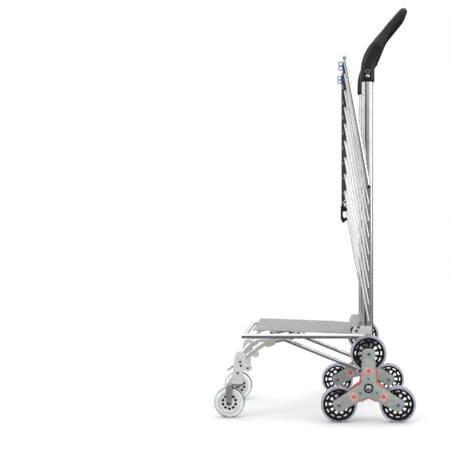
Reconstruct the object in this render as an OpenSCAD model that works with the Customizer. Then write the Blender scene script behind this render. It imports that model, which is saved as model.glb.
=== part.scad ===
// Folding shopping trolley on wheels: a back frame with two posts, a collapsible wire basket, a folding
// deck on castors, and two stair-climbing wheel clusters. Front is -X, rear (handle side) is +X, left is -Y,
// up is +Z. The origin is on the floor under the middle of the trolley.

/* [Wheels] */
// Radius of a cluster wheel
wheel_r = 43.8; // [40:0.2:46]
// Width of a cluster wheel
wheel_w = 24; // [20:1:26]
// Distance from the main axle to each cluster wheel's axle
arm_len = 82; // [78:1:90]
// Radius of a castor wheel
castor_r = 37.5; // [34:0.5:40]
// Width of a castor wheel
castor_w = 22; // [18:1:24]
// Distance from the main axle to the castor axles
wheelbase = 342; // [338:1:350]
// Trail of a castor: its axle lies this far in front of its swivel
castor_trail = 20; // [16:1:22]
// Distance from the middle plane to the middle of a cluster
cluster_y = 181; // [181:1:186]

/* [Back frame] */
// Distance from the middle plane to the middle of a post
post_y = 128; // [126:1:129]
// Depth of a post's section, along X
post_d = 28; // [26:1:29]
// Width of a post's section, along Y
post_w = 24; // [22:1:24]
// Height of the lower end of a handle socket
socket_z = 829; // [800:1:840]
// Depth of a handle socket, along X
socket_d = 35; // [34:1:38]

/* [Basket] */
// Length of a side wire between its two pivots
link_len = 322; // [318:1:324]
// Angle of the side wires from upright while the basket is folded
fold_angle = 10.5; // [9.5:0.5:12]
// Distance between two neighbouring side wires, along Z
wire_pitch = 41; // [39:0.5:41]
// Height of the top rails' rear pivots
rail_z = 570; // [560:1:575]
// Number of side wires under each top rail
wire_levels = 8; // [8:1:8]
// Radius of a side wire
wire_r = 1.9; // [1.6:0.1:2.2]

/* [Deck] */
// Height of the deck's hinge and side tubes
deck_z = 204; // [202:1:206]
// Distance from the deck's hinge to the middle of its front tube
deck_len = 303; // [300:1:304]
// Radius of the deck's tubes
tube_r = 6; // [5:0.5:6]
// Upward slope of the wire mesh towards the front, in degrees
mesh_slope = 2.2; // [1.5:0.1:2.5]

/* [Hidden] */
$fn = 48;

LEFT = -1;
RIGHT = 1;
SIDES = [LEFT, RIGHT];
run_fit = 0.08;
apart = 0.4;

// Main axle: centred so that the trolley's length is shared equally in front of and behind the origin
axle_x = (wheelbase + castor_r - arm_len * cos(30) - wheel_r) / 2;
axle_z = arm_len * sin(30) + wheel_r;
axle_r = 6;
pin_r = 4;
post_wall = 1.6;
post_corner = 11;
post_foot_z = 118;

// Basket pivots
pivot_x = axle_x + 2;
front_x = pivot_x - link_len * sin(fold_angle);
rise = link_len * cos(fold_angle);
strip_y = post_y + post_w / 2;
strip_t = 2.4;
eye_rim = 0.2;
wire_y = strip_y + strip_t + apart + eye_rim + wire_r;
peg_r = 1.5;
rail_r = 5;
rail_peg_r = 3;
rail_y = strip_y + strip_t + apart + eye_rim + rail_r;
last_z = rail_z - wire_levels * wire_pitch;

// Deck: side tubes run outside the posts, the mesh lies between them
side_y = strip_y + 4.6 + tube_r;
front_tube_x = axle_x - deck_len;
mesh_rear = 42;
mesh_half = 129;

// Leg and brace pivots, seen from the side
leg_x = axle_x - 188;
leg_z = 200;
link_x = axle_x - 236;
link_z = 184;
tube_z = 192;
brace_x = axle_x - 17;
brace_z = 113;
leg_y = 122;
brace_y = 98;
brace_r = 5;
brace_boss = brace_r + 0.8;
swivel_x = axle_x - wheelbase + castor_trail;
fork_top = 2 * castor_r + 8;
kingpin_r = 4;

// Height of the pivot of level i: 0 is the top rail
function level_z(i) = rail_z - i * wire_pitch;

// ---- Helpers ----

// A round bar between two points
module bar(from, to, r) {
    d = to - from;
    length = norm(d);
    yaw = atan2(d[1], d[0]);
    pitch = acos(d[2] / length);
    translate(from) rotate([0, pitch, yaw]) cylinder(r = r, h = length);
}

// A cylinder along Y from y0 to y1
module pin(x, z, y0, y1, r) {
    translate([x, min(y0, y1), z]) rotate([-90, 0, 0]) cylinder(r = r, h = abs(y1 - y0));
}

// A flat plate that stands in the XZ plane, drawn in 2D as [x, z]
module side_plate(y0, y1) {
    translate([0, max(y0, y1), 0]) rotate([90, 0, 0]) linear_extrude(height = abs(y1 - y0)) children();
}

// A rectangle with round corners, centred
module round_rect(w, h, r) {
    square([w - 2 * r, h], center = true);
    square([w, h - 2 * r], center = true);
    for (x = [-1, 1], y = [-1, 1]) translate([x * (w / 2 - r), y * (h / 2 - r)]) circle(r);
}

// A bar with round ends between two points in the plane
module slot_2d(from, to, r) {
    d = to - from;
    translate(from) circle(r);
    translate(to) circle(r);
    translate(from) rotate(atan2(d[1], d[0])) translate([0, -r]) square([norm(d), 2 * r]);
}

// ---- Back frame ----

module post(side) {
    color("silver") translate([axle_x, side * post_y, post_foot_z])
        difference() {
            linear_extrude(height = socket_z + 36 - post_foot_z) difference() {
                round_rect(post_d, post_w, post_corner);
                round_rect(post_d - 2 * post_wall, post_w - 2 * post_wall, post_corner - post_wall);
            }
            translate([0, -post_w, deck_z - post_foot_z]) rotate([-90, 0, 0])
                cylinder(r = pin_r + run_fit, h = 2 * post_w);
        }
}

module left_post() post(LEFT);
module right_post() post(RIGHT);

inner_y = post_y - post_w / 2;

module frame_crossbars() {
    color("silver") for (z = [rail_z + 26, 806])
        pin(axle_x + 4, z, -inner_y, inner_y, 8);
}

module back_grille() {
    grille_x = axle_x + 9;
    bottom = last_z - 14;
    color("lightgray") {
        for (i = [0:wire_levels]) pin(grille_x, level_z(i) - 6, -inner_y, inner_y, 1.6);
        for (y = [-84:42:84]) bar([grille_x - 2.4, y, bottom], [grille_x - 2.4, y, rail_z + 2], 1.6);
    }
}

// Pivot strips: a row of holes takes the side wires' bent ends
module pivot_strip(x, side, z0, z1, width, rail_hole) {
    y0 = side * strip_y;
    side_plate(y0, y0 + side * strip_t) difference() {
        translate([x - width / 2, z0]) square([width, z1 - z0]);
        for (i = [1:wire_levels]) translate([x, level_z(i) + rail_hole]) circle(peg_r + run_fit);
        translate([x, level_z(0) + rail_hole]) circle(rail_peg_r + run_fit);
    }
}

module back_strips() {
    color("dimgray") for (s = SIDES) pivot_strip(pivot_x, s, last_z - 12, rail_z + 12, 11, 0);
}

// Quarter-round hinge ears for the deck, and ears for the braces inside the posts
module hinge_plates() {
    color("gainsboro") for (s = SIDES) {
        y0 = s * strip_y;
        side_plate(y0, y0 + s * strip_t) difference() {
            intersection() {
                translate([axle_x, deck_z]) circle(r = mesh_rear - 2, $fn = 96);
                translate([axle_x - mesh_rear, deck_z - 10]) square([mesh_rear + 10, 34]);
            }
            translate([axle_x, deck_z]) circle(pin_r + run_fit);
        }
        y1 = s * inner_y;
        side_plate(y1, y1 - s * strip_t) difference() {
            union() {
                slot_2d([brace_x, brace_z], [axle_x, brace_z], 11);
                translate([axle_x - 11, brace_z - 11]) square([22, 46]);
            }
            translate([brace_x, brace_z]) circle(pin_r + run_fit);
            translate([axle_x, axle_z]) circle(16);
        }
    }
}

module plate_bolts() {
    color("black") for (s = SIDES) {
        y = s * (strip_y + strip_t);
        for (p = [[-28, 12], [-23, 21]]) {
            pin(axle_x + p[0], deck_z + p[1], y, y + s * 1.6, 3);
        }
        // Pin that carries the brace
        yb = s * (inner_y - strip_t);
        pin(brace_x, brace_z, s * (brace_y - brace_boss), s * (inner_y - 0.2), pin_r);
        pin(brace_x, brace_z, s * (brace_y - brace_boss - apart), s * (brace_y - brace_boss - 3), 6);
        for (z = [brace_z + 24, brace_z + 30]) pin(axle_x, z, yb, yb - s * 1.6, 2.4);
    }
}

module deck_hinge_rod() {
    end = side_y + tube_r + 1;
    color("silver") {
        pin(axle_x, deck_z, -end, end, pin_r);
        for (s = SIDES) pin(axle_x, deck_z, s * end, s * (end + 2.5), 7);
    }
}

// Feet of the posts, which carry the main axle
module axle_blocks() {
    color("dimgray") for (s = SIDES) difference() {
        union() {
            translate([axle_x, s * post_y, axle_z]) rotate([90, 0, 0])
                cylinder(r = 15, h = post_w, center = true);
            translate([axle_x, s * post_y, (axle_z + post_foot_z) / 2])
                linear_extrude(height = post_foot_z - axle_z, center = true)
                    round_rect(post_d + 2, post_w, post_corner);
            translate([axle_x, s * post_y, post_foot_z])
                linear_extrude(height = 22)
                    round_rect(post_d - 2 * post_wall, post_w - 2 * post_wall, post_corner - post_wall);
            pin(axle_x, axle_z, s * strip_y, s * (cluster_y - 20), 10);
        }
        pin(axle_x, axle_z, 0, s * 2 * post_y, axle_r + run_fit);
    }
}

module main_axle() {
    color("silver") pin(axle_x, axle_z, -(cluster_y + 22), cluster_y + 22, axle_r);
}

// ---- Handle ----

// Middle line of a handle arm, seen from the side: [along X from the post, height]
elbow_bend = [[0, socket_z + 40], [5.5, socket_z + 60], [15, socket_z + 79], [27, socket_z + 94]];
elbow_radii = [17.2, 17, 16, 15.2];

// Middle line of a grip arm from the elbow to the crossbar: [along X from the post, across, height]
grip_line = [[27, post_y, socket_z + 94], [54, 94, socket_z + 142], [93, 60, socket_z + 190]];
grip_radii = [14, 8.8, 9.2];

module handle_sockets() {
    color("black") for (s = SIDES) translate([axle_x, s * post_y, 0]) difference() {
        union() {
            translate([0, 0, socket_z]) linear_extrude(height = 46) round_rect(socket_d, 31, 13);
            for (i = [0:len(elbow_bend) - 2]) hull() {
                for (k = [i, i + 1])
                    translate([elbow_bend[k][0], 0, elbow_bend[k][1]]) sphere(r = elbow_radii[k], $fn = 32);
            }
        }
        translate([0, 0, socket_z - 1]) linear_extrude(height = 38) round_rect(post_d, post_w, post_corner);
    }
}

// U-shaped grip: its arms lean together up to the crossbar
module handle_grip() {
    last = len(elbow_bend) - 1;
    top = grip_line[2];
    color("black") {
        for (s = SIDES) difference() {
            for (i = [0, 1]) hull() for (k = [i, i + 1])
                translate([axle_x + grip_line[k][0], s * grip_line[k][1], grip_line[k][2]])
                    sphere(r = grip_radii[k], $fn = 32);
            translate([axle_x + elbow_bend[last][0], s * post_y, elbow_bend[last][1]])
                sphere(r = elbow_radii[last] + 0.15, $fn = 32);
        }
        pin(axle_x + top[0], top[2], -top[1], top[1], grip_radii[2]);
    }
}

module handle_screws() {
    color("white") for (s = SIDES) {
        y = s * (post_y + 15.5);
        pin(axle_x, socket_z + 13, y, y + s * 1.8, 4.6);
        pin(axle_x, socket_z + 25, y, y + s * 1, 3.6);
    }
}

// ---- Basket ----

// One rod of the basket's sides with its bent ends and their two inward pegs, for level i
module side_rod(i, side, r, y, peg) {
    back = [pivot_x, side * y, level_z(i)];
    front = [front_x, side * y, level_z(i) + rise];
    union() {
        bar(back, front, r);
        for (p = [back, front]) {
            pin(p[0], p[2], side * (y - r - eye_rim), side * (y + r + eye_rim), r + eye_rim);
            pin(p[0], p[2], side * (strip_y + 0.1), p[1], peg);
        }
    }
}

module side_wires(i) {
    color("gainsboro") for (s = SIDES) side_rod(i, s, wire_r, wire_y, peg_r);
}

module side_wires_1() side_wires(1);
module side_wires_2() side_wires(2);
module side_wires_3() side_wires(3);
module side_wires_4() side_wires(4);
module side_wires_5() side_wires(5);
module side_wires_6() side_wires(6);
module side_wires_7() side_wires(7);
module side_wires_8() side_wires(8);

module top_rails() {
    color("gainsboro") for (s = SIDES) side_rod(0, s, rail_r, rail_y, rail_peg_r);
}

module rail_caps() {
    y = rail_y + rail_r + eye_rim;
    color("black") for (s = SIDES, end = [0, 1])
        pin(pivot_x + end * (front_x - pivot_x), rail_z + end * rise, s * (y + 0.05), s * (y + 2), 4);
}

panel_top = rail_z + rise;
panel_bottom = panel_top - wire_levels * wire_pitch - 28;
latch_z = panel_bottom - 6;

module front_strips() {
    color("dimgray") for (s = SIDES) difference() {
        pivot_strip(front_x, s, panel_bottom, panel_top + 6, 8, rise);
        pin(front_x, latch_z + 12, s * (strip_y - 1), s * (strip_y + strip_t + 1), 1.6);
    }
}

// Wire front of the basket, between the two strips, with the latch rod under it
module front_grille() {
    y = strip_y - 0.05;
    color("gainsboro") {
        for (i = [0:wire_levels]) pin(front_x, panel_top - i * wire_pitch, -y, y, i == 0 ? 3 : 1.6);
        for (side_wire = [-105:42:105])
            bar([front_x + 2, side_wire, latch_z], [front_x + 2, side_wire, panel_top], 1.6);
        pin(front_x + 2, latch_z, -105, 105, 2.4);
    }
}

// Figure-eight rings at the top of the front, one pair on each side
module cover_clips() {
    color("deepskyblue") for (s = SIDES)
        side_plate(s * 120, s * 127) translate([front_x - 9.4, panel_top - 17]) difference() {
            union() {
                for (z = [-6, 6]) translate([0, z]) circle(6.4);
                translate([0, -2]) square([7.2, 4]);
                translate([2, -6]) square([6, 12]);
            }
            for (z = [-6, 6]) translate([0, z]) circle(4.2);
        }
}

// Latch: hangs on the rod under the front, and hooks over the deck's front tube
module latch_hook() {
    color("black") translate([front_x + 2, 0, latch_z]) side_plate(-14, 14) difference() {
        union() {
            circle(7);
            translate([-10, -34]) square([5, 34]);
            translate([-10, -13]) square([16.6, 8]);
            polygon([[-10, -30], [-10, -34], [-4, -44], [6, -34], [6, -31], [-4, -34]]);
        }
        circle(2.4 + run_fit);
    }
}

// ---- Deck ----

// Side tubes with a hinge eye at the rear, and the front tube between their ends
module deck_tubes() {
    corner = side_y - tube_r;
    color("gainsboro") {
        for (s = SIDES) difference() {
            union() {
                bar([axle_x, s * side_y, deck_z], [front_tube_x - tube_r, s * side_y, deck_z], tube_r);
                pin(axle_x, deck_z, s * (side_y - tube_r), s * (side_y + tube_r), tube_r + 2);
            }
            pin(axle_x, deck_z, s * (side_y - 9), s * (side_y + 9), pin_r + run_fit);
        }
        pin(front_tube_x, deck_z, -corner, corner, tube_r - 0.1);
    }
}

// Bars that tie the side tubes together under the mesh, and the stubs that the legs swing on
deck_bars = [52, 158, 170, 241];

module deck_crossbars() {
    color("silver") {
        for (d = deck_bars) pin(axle_x - d, deck_z, -(side_y - 5.6), side_y - 5.6, 3);
        for (s = SIDES) pin(leg_x, leg_z, s * (leg_y - tube_r - 2), s * (side_y - tube_r), pin_r);
    }
}

module deck_mesh() {
    front = deck_len - 21;
    mesh_len = front - mesh_rear;
    color("gray") translate([axle_x - mesh_rear, 0, deck_z + 4.4]) rotate([0, mesh_slope, 0]) {
        for (y = [-mesh_half:10.75:mesh_half + 1])
            translate([0, y, 0]) rotate([0, -90, 0]) cylinder(r = 1.3, h = mesh_len, $fn = 16);
        for (x = [0, mesh_len / 4, mesh_len / 2, 3 * mesh_len / 4, mesh_len])
            translate([-x, 0, -1.6]) rotate([90, 0, 0])
                cylinder(r = 1.7, h = 2 * mesh_half + 4, center = true, $fn = 24);
    }
}

module deck_bolts() {
    color("black") for (s = SIDES, d = [171, 190, 236])
        translate([axle_x - d, s * (side_y - 2), deck_z + tube_r + 0.02]) cylinder(r = 2.8, h = 2.8);
}

// ---- Leg and brace ----

bracket_x = axle_x - 315;
bracket_z = 150;

// Outline of the castor bracket, seen from the side
module leg_plate_2d() {
    difference() {
        union() {
            slot_2d([bracket_x, bracket_z], [swivel_x, fork_top + 22], 13);
            slot_2d([bracket_x + 2, bracket_z - 20], [bracket_x + 20, bracket_z - 28], 9);
            translate([swivel_x - 13, fork_top + 6]) square([26, 20]);
        }
        translate([swivel_x - 40, fork_top - 20]) square([80, 26]);
    }
}

module leg_tubes() {
    bend = 56;
    bend_x = bracket_x + 3 + bend;
    color("gainsboro") for (s = SIDES) translate([0, s * leg_y, 0]) difference() {
        union() {
            bar([leg_x, 0, leg_z], [link_x, 0, tube_z], tube_r - 0.5);
            pin(link_x, tube_z, -tube_r, tube_r, tube_r + 0.5);
            bar([link_x, 0, tube_z], [bend_x, 0, tube_z], tube_r - 0.5);
            translate([bend_x, 0, tube_z - bend]) rotate([90, 0, 0]) rotate([0, 0, 90])
                rotate_extrude(angle = 62) translate([bend, 0]) circle(tube_r - 0.5);
            pin(leg_x, leg_z, -tube_r, tube_r, tube_r + 2);
        }
        pin(leg_x, leg_z, -tube_r - 1, tube_r + 1, pin_r + run_fit);
    }
}

module leg_struts() {
    color("gainsboro") for (s = SIDES) {
        y = s * (leg_y - 12.5);
        bar([link_x - 11, y, link_z + 2], [bracket_x - 34, y, bracket_z - 34], 5);
        side_plate(s * (leg_y - 7), s * (leg_y - 18)) slot_2d([link_x, link_z], [link_x - 12, link_z - 4], 8);
    }
}

module castor_brackets() {
    color("whitesmoke") for (s = SIDES) difference() {
        union() {
            side_plate(s * (leg_y - 6.5), s * (leg_y + 6.5)) leg_plate_2d();
            translate([swivel_x, s * leg_y, fork_top + 1]) cylinder(r = 15, h = 7);
        }
        translate([swivel_x, s * leg_y, fork_top]) cylinder(r = kingpin_r + run_fit, h = 16);
    }
}

module leg_bolts() {
    color("dimgray") for (s = SIDES) {
        y = s * (leg_y + 6.5);
        for (p = [[0, -12], [2, -22], [19, -28], [-6, -40]])
            pin(bracket_x + p[0], bracket_z + p[1], y, y + s * 1.6, 2.6);
    }
}

module brace_tubes() {
    knee_x = link_x + 28;
    knee_z = link_z + 6;
    color("gainsboro") for (s = SIDES) difference() {
        union() {
            bar([brace_x, s * brace_y, brace_z], [knee_x, s * brace_y, knee_z], brace_r);
            pin(knee_x, knee_z, s * (brace_y - brace_r - 0.3), s * (brace_y + brace_r + 0.3), brace_r + 0.4);
            bar([knee_x, s * brace_y, knee_z], [link_x, s * brace_y, link_z], brace_r);
            pin(brace_x, brace_z, s * (brace_y - brace_boss), s * (brace_y + brace_boss), 8);
        }
        pin(brace_x, brace_z, s * (brace_y - 9), s * (brace_y + 9), pin_r + run_fit);
    }
}

// ---- Castors ----

module castor_fork(side) {
    half = castor_w / 2 + 1;
    color("gray") translate([swivel_x, side * leg_y, 0]) {
        translate([0, 0, fork_top - 3]) cylinder(r = 14, h = 3);
        translate([0, 0, fork_top - 1]) cylinder(r = kingpin_r, h = 14);
        for (s = SIDES) {
            side_plate(s * half, s * (half + 2.4)) difference() {
                slot_2d([-castor_trail, castor_r], [-4, fork_top - 12], 8);
                translate([-castor_trail, castor_r]) circle(3 + run_fit);
            }
        }
        translate([-6, 0, fork_top - 4.4]) cube([21, 2 * half + 4, 3.4], center = true);
        pin(-castor_trail, castor_r, -(half + 5), half + 5, 3);
    }
}

module castor_core(side) {
    color("white") translate([swivel_x - castor_trail, side * leg_y, castor_r]) rotate([90, 0, 0])
        linear_extrude(height = castor_w - 6, center = true) difference() {
            circle(castor_r - 10);
            circle(3 + run_fit);
            for (a = [0:40:320]) rotate(a) translate([14, 0]) circle(2.6);
        }
}

module castor_tyre(side) {
    color("aliceblue") translate([swivel_x - castor_trail, side * leg_y, castor_r]) rotate([90, 0, 0])
        tyre(castor_r, castor_r - 9.95, castor_w, 6);
}

module left_castor_fork() castor_fork(LEFT);
module left_castor_core() castor_core(LEFT);
module left_castor_tyre() castor_tyre(LEFT);
module right_castor_fork() castor_fork(RIGHT);
module right_castor_core() castor_core(RIGHT);
module right_castor_tyre() castor_tyre(RIGHT);

// ---- Stair-climbing wheel clusters ----

// A tyre whose tread has round edges, along Z
module tyre(outer, inner, width, tread) {
    rotate_extrude($fn = 96) difference() {
        union() {
            translate([inner, -width / 2]) square([outer - tread - inner, width]);
            translate([inner, -width / 2 + tread]) square([outer - inner, width - 2 * tread]);
            for (y = [-1, 1]) translate([outer - tread, y * (width / 2 - tread)]) circle(tread);
        }
        translate([0, -width]) square([inner, 2 * width]);
    }
}

// Three-armed outline: hub at the origin, one arm up
module three_arms(width, reach, tip) {
    circle(width / 2 + 4);
    for (a = [0, 120, 240]) rotate(a) {
        translate([-width / 2, 0]) square([width, reach - tip]);
        translate([-width / 2 + tip, 0]) square([width - 2 * tip, reach]);
        for (x = [-1, 1]) translate([x * (width / 2 - tip), reach - tip]) circle(tip);
    }
}

plate_t = 3;
plate_gap = wheel_w / 2 + 2.5;

module at_cluster(side) {
    translate([axle_x, side * cluster_y, axle_z]) children();
}

module cluster_plates(side) {
    color("darkgray") at_cluster(side) for (s = SIDES)
        side_plate(s * plate_gap, s * (plate_gap + plate_t)) difference() {
            three_arms(34, arm_len + 13, 9);
            circle(axle_r + run_fit);
            for (a = [0, 120, 240]) rotate(a) translate([0, arm_len]) circle(pin_r + run_fit);
        }
}

// Red three-lobed spacer between the plates, and a plain red pad on each arm
module cluster_spacer(side) {
    outer = side * (plate_gap + plate_t + 0.05);
    color("red") at_cluster(side) {
        side_plate(-plate_gap + 0.05, plate_gap - 0.05) difference() {
            three_arms(40, 35, 6);
            circle(axle_r + run_fit);
        }
        for (a = [0, 120, 240])
            side_plate(outer, outer + side * 1.2) rotate(a) translate([0, 43]) round_rect(26, 17, 2);
    }
}

module cluster_bolts(side) {
    y = plate_gap + plate_t + 0.05;
    color("silver") at_cluster(side) {
        for (a = [0, 120, 240]) {
            x = -arm_len * sin(a);
            z = arm_len * cos(a);
            pin(x, z, -y - 1.8, y + 1.8, pin_r);
            for (s = SIDES) pin(x, z, s * y, s * (y + 1.8), 5.5);
            pin(x * 23 / arm_len, z * 23 / arm_len, side * y, side * (y + 1.4), 2.2);
        }
    }
    color("silver") at_cluster(side) difference() {
        pin(0, 0, side * y, side * (y + 7), 10);
        pin(0, 0, side * (y - 1), side * (y + 5), axle_r + run_fit);
    }
}

module at_wheel(side, arm) {
    a = (arm - 1) * 120;
    translate([axle_x - arm_len * sin(a), side * cluster_y, axle_z + arm_len * cos(a)])
        rotate([90, 0, 0]) children();
}

module wheel_core(side, arm) {
    rim = wheel_r - 5.2;
    color([0.1, 0.1, 0.1]) at_wheel(side, arm) union() {
        linear_extrude(height = wheel_w - 5, center = true) difference() {
            circle(rim, $fn = 96);
            circle(pin_r + run_fit);
            for (a = [0:30:330]) rotate(a) translate([0, 31.5]) round_rect(11, 3.6, 1.4);
            for (a = [15:36:339]) rotate(a) translate([0, 21]) round_rect(6.4, 9, 2);
        }
        difference() {
            cylinder(r = 10, h = wheel_w + 2, center = true);
            cylinder(r = pin_r + run_fit, h = 2 * wheel_w, center = true);
        }
    }
}

module wheel_tyre(side, arm) {
    color([0.75, 0.75, 0.85]) at_wheel(side, arm) tyre(wheel_r, wheel_r - 5.15, wheel_w, 4.2);
}

module left_cluster_plates() cluster_plates(LEFT);
module left_cluster_spacer() cluster_spacer(LEFT);
module left_cluster_bolts() cluster_bolts(LEFT);
module right_cluster_plates() cluster_plates(RIGHT);
module right_cluster_spacer() cluster_spacer(RIGHT);
module right_cluster_bolts() cluster_bolts(RIGHT);
module left_wheel_core_1() wheel_core(LEFT, 1);
module left_wheel_core_2() wheel_core(LEFT, 2);
module left_wheel_core_3() wheel_core(LEFT, 3);
module left_wheel_tyre_1() wheel_tyre(LEFT, 1);
module left_wheel_tyre_2() wheel_tyre(LEFT, 2);
module left_wheel_tyre_3() wheel_tyre(LEFT, 3);
module right_wheel_core_1() wheel_core(RIGHT, 1);
module right_wheel_core_2() wheel_core(RIGHT, 2);
module right_wheel_core_3() wheel_core(RIGHT, 3);
module right_wheel_tyre_1() wheel_tyre(RIGHT, 1);
module right_wheel_tyre_2() wheel_tyre(RIGHT, 2);
module right_wheel_tyre_3() wheel_tyre(RIGHT, 3);

left_post();
right_post();
frame_crossbars();
back_grille();
back_strips();
hinge_plates();
plate_bolts();
deck_hinge_rod();
axle_blocks();
main_axle();
handle_sockets();
handle_grip();
handle_screws();
top_rails();
rail_caps();
side_wires_1();
side_wires_2();
side_wires_3();
side_wires_4();
side_wires_5();
side_wires_6();
side_wires_7();
side_wires_8();
front_strips();
front_grille();
cover_clips();
latch_hook();
deck_tubes();
deck_crossbars();
deck_mesh();
deck_bolts();
leg_tubes();
leg_struts();
castor_brackets();
leg_bolts();
brace_tubes();
left_castor_fork();
left_castor_core();
left_castor_tyre();
right_castor_fork();
right_castor_core();
right_castor_tyre();
left_cluster_plates();
left_cluster_spacer();
left_cluster_bolts();
right_cluster_plates();
right_cluster_spacer();
right_cluster_bolts();
left_wheel_core_1();
left_wheel_tyre_1();
left_wheel_core_2();
left_wheel_tyre_2();
left_wheel_core_3();
left_wheel_tyre_3();
right_wheel_core_1();
right_wheel_tyre_1();
right_wheel_core_2();
right_wheel_tyre_2();
right_wheel_core_3();
right_wheel_tyre_3();
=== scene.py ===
"""Looks of a folding shopping trolley: materials and finely shaped pieces around its fixed CAD frame."""

import math

import bmesh
import bpy
from mathutils import Matrix, Vector


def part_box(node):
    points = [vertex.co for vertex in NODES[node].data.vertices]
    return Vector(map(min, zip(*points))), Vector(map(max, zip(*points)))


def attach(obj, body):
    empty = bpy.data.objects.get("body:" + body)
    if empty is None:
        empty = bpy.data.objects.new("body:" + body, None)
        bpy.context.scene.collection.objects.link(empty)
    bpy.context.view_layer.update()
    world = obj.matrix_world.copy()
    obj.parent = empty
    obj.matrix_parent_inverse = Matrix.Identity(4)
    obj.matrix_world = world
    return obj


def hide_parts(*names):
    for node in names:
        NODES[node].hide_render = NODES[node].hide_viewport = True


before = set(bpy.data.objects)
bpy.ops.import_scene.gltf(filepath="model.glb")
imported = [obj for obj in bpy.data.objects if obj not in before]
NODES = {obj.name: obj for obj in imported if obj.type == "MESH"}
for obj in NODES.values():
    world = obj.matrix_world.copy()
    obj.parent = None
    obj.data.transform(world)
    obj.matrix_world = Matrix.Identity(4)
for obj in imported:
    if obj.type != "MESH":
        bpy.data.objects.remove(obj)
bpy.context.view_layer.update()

MM = 0.001
SIDES = {"left": -1, "right": 1}


def centre(node):
    """Middle of a CAD node's box."""
    low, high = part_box(node)
    return (low + high) / 2


AXLE = centre("main_axle")
POST_Y = centre("right_post").y
DECK_Z = centre("deck_hinge_rod").z

# ---- Camera, light and floor ----

VIEW_DISTANCE = 2.55
EYE_HEIGHT = 0.501
EYE_X = 0.0347
# The lens and the shift put the whole trolley in the right-hand half of a square picture
LENS = 78.16
SHIFT_RIGHT, SHIFT_DOWN = -0.2273, -0.0233


def add_camera():
    data = bpy.data.cameras.new("camera")
    data.sensor_width = 36
    data.lens = LENS
    data.shift_x = SHIFT_RIGHT
    data.shift_y = SHIFT_DOWN
    camera = bpy.data.objects.new("camera", data)
    camera.location = (EYE_X, -VIEW_DISTANCE, EYE_HEIGHT)
    camera.rotation_euler = (math.pi / 2, 0, 0)
    bpy.context.scene.collection.objects.link(camera)
    bpy.context.scene.camera = camera


def add_light(name, place, target, size, power):
    """A square softbox at place that shines on target."""
    data = bpy.data.lights.new(name, "AREA")
    data.shape = "RECTANGLE"
    data.size, data.size_y = size
    data.energy = power
    light = bpy.data.objects.new(name, data)
    light.location = place
    light.rotation_euler = (Vector(target) - Vector(place)).to_track_quat("-Z", "Y").to_euler()
    bpy.context.scene.collection.objects.link(light)


def add_world():
    """White all round. Bright metal also mirrors a dark gap behind the viewer and a dark ground."""
    world = bpy.data.worlds.new("studio")
    world.use_nodes = True
    tree = world.node_tree
    background = tree.nodes["Background"]
    coords = tree.nodes.new("ShaderNodeTexCoord")
    parts = tree.nodes.new("ShaderNodeSeparateXYZ")
    tree.links.new(coords.outputs["Generated"], parts.inputs[0])

    def ramp(source, stops):
        n = tree.nodes.new("ShaderNodeValToRGB")
        for e, (place, grey) in zip(n.color_ramp.elements, stops[:2]):
            e.position, e.color = place, (grey, grey, grey, 1)
        for place, grey in stops[2:]:
            n.color_ramp.elements.new(place).color = (grey, grey, grey, 1)
        tree.links.new(source, n.inputs[0])
        return n.outputs[0]

    def shifted(source, direction):
        """Share from 0 to 1 of how much the direction looked in agrees with the one given."""
        dot = tree.nodes.new("ShaderNodeVectorMath")
        dot.operation = "DOT_PRODUCT"
        dot.inputs[1].default_value = Vector(direction).normalized() * 0.5
        tree.links.new(source, dot.inputs[0])
        add = tree.nodes.new("ShaderNodeMath")
        add.inputs[1].default_value = 0.5
        tree.links.new(dot.outputs["Value"], add.inputs[0])
        return add.outputs[0]

    def times(a, b):
        n = tree.nodes.new("ShaderNodeMix")
        n.data_type, n.blend_type = "RGBA", "MULTIPLY"
        n.inputs["Factor"].default_value = 1
        tree.links.new(a, n.inputs["A"])
        tree.links.new(b, n.inputs["B"])
        return n.outputs["Result"]

    flat = coords.outputs["Generated"]
    ground = ramp(shifted(flat, (0, 0, 1)), [(0.44, 0.16), (0.50, 0.75), (0.56, 1.0)])
    viewer = ramp(shifted(flat, (-0.35, -1, -0.05)), [(0.945, 1.0), (0.966, 0.07)])
    rear = ramp(shifted(flat, (1, 0.5, 0)), [(0.955, 1.0), (0.99, 0.25)])
    mirrored = times(times(ground, viewer), rear)

    seen = tree.nodes.new("ShaderNodeLightPath")
    only = tree.nodes.new("ShaderNodeMath")
    only.operation = "SUBTRACT"
    only.use_clamp = True
    tree.links.new(seen.outputs["Is Glossy Ray"], only.inputs[0])
    tree.links.new(seen.outputs["Is Transmission Ray"], only.inputs[1])
    mix = tree.nodes.new("ShaderNodeMix")
    mix.data_type = "RGBA"
    mix.inputs["A"].default_value = (1, 1, 1, 1)
    tree.links.new(only.outputs[0], mix.inputs["Factor"])
    tree.links.new(mirrored, mix.inputs["B"])
    tree.links.new(mix.outputs["Result"], background.inputs["Color"])
    background.inputs["Strength"].default_value = 1.0
    bpy.context.scene.world = world


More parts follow.
